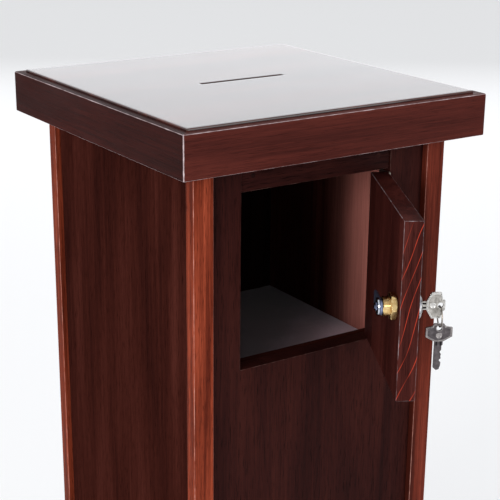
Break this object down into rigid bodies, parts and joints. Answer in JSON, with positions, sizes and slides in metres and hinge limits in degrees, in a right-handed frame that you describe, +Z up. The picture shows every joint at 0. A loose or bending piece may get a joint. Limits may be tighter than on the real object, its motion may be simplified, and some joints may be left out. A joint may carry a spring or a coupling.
{
  "type": "donation box",
  "caption": "Floor-standing wooden donation box with a slotted overhanging top and a lockable door to an upper cash compartment.",
  "frame": {"origin": "on the floor, under the middle of the square top and base", "axes": "+Z up, +X to the right and -Y towards a person who faces the door"},
  "size_m": [0.35, 0.472, 0.9],
  "materials": {
    "top_veneer": "glossy dark mahogany lacquer",
    "edge_wood": "satin dark mahogany stain",
    "post_wood": "satin red-brown stain",
    "board_wood": "satin dark mahogany stain",
    "inside_wood": "matt thin stain",
    "felt": "grey-violet felt",
    "steel": "satin",
    "brass": "machined",
    "chrome": "polished plate",
    "nickel": "nickel plate"
  },
  "bodies": {
    "cabinet": {"back_panel": "board_wood", "base_batten_back": "inside_wood", "base_batten_front": "inside_wood", "base_batten_left": "inside_wood", "base_batten_right": "inside_wood", "base_board": "inside_wood", "base_edge_back": "edge_wood", "base_edge_front": "edge_wood", "base_edge_left": "edge_wood", "base_edge_right": "edge_wood", "compartment_floor": "inside_wood", "corner_post_back_left": "post_wood", "corner_post_back_right": "post_wood", "corner_post_front_left": "post_wood", "corner_post_front_right": "post_wood", "floor_bearer_left": "inside_wood", "floor_bearer_right": "inside_wood", "floor_liner": "felt", "front_panel": "board_wood", "hinge_leaf_body": "steel", "hinge_pin": "steel", "hinge_screw_body_1": "steel", "hinge_screw_body_2": "steel", "hinge_screw_body_3": "steel", "keeper_screw_1": "steel", "keeper_screw_2": "steel", "lock_keeper": "inside_wood", "rail_plug_1": "post_wood", "rail_plug_2": "post_wood", "side_panel_left": "board_wood", "side_panel_right": "board_wood", "sill_stop": "board_wood", "top_batten_back": "inside_wood", "top_batten_front": "inside_wood", "top_batten_left": "inside_wood", "top_batten_right": "inside_wood", "top_core_board": "inside_wood", "top_edge_back": "edge_wood", "top_edge_front": "edge_wood", "top_edge_left": "edge_wood", "top_edge_right": "edge_wood", "top_panel": "top_veneer", "top_rail": "board_wood"},
    "door": {"door": "board_wood", "hinge_leaf_door": "steel", "hinge_screw_door_1": "steel", "hinge_screw_door_2": "steel", "hinge_screw_door_3": "steel", "lock_body": "nickel", "lock_nut": "brass"},
    "lock_plug": {"lock_plug": "nickel", "lock_cam": "chrome", "cam_washer": "chrome", "cam_screw": "chrome"},
    "inserted_key": {"key_inserted": "nickel"},
    "key_ring": {"key_ring": "steel"},
    "spare_key": {"spare_key": "nickel"}
  },
  "joints": [
    {"name": "door_hinge", "type": "hinge", "parent": "cabinet", "child": "door", "pos_m": [0.0823, -0.1408, 0.7375], "axis": [0, 0, 1], "range_deg": [-61.5, 100]},
    {"name": "lock_turn", "type": "hinge", "parent": "door", "child": "lock_plug", "pos_m": [0.0074, -0.27707, 0.7385], "axis": [-0.8788, 0.4772, 0], "range_deg": [0, 180]},
    {"name": "key_withdraw", "type": "slide", "parent": "lock_plug", "child": "inserted_key", "axis": [0.8788, -0.4772, 0], "range_m": [0, 0.025]},
    {"name": "ring_swing", "type": "hinge", "parent": "inserted_key", "child": "key_ring", "pos_m": [0.02726, -0.28786, 0.737], "axis": [0.4772, 0.8788, 0], "range_deg": [-25, 8]},
    {"name": "spare_key_swing", "type": "hinge", "parent": "key_ring", "child": "spare_key", "pos_m": [0.02726, -0.28786, 0.7178], "axis": [0.4772, 0.8788, 0], "range_deg": [-15, 8]}
  ]
}
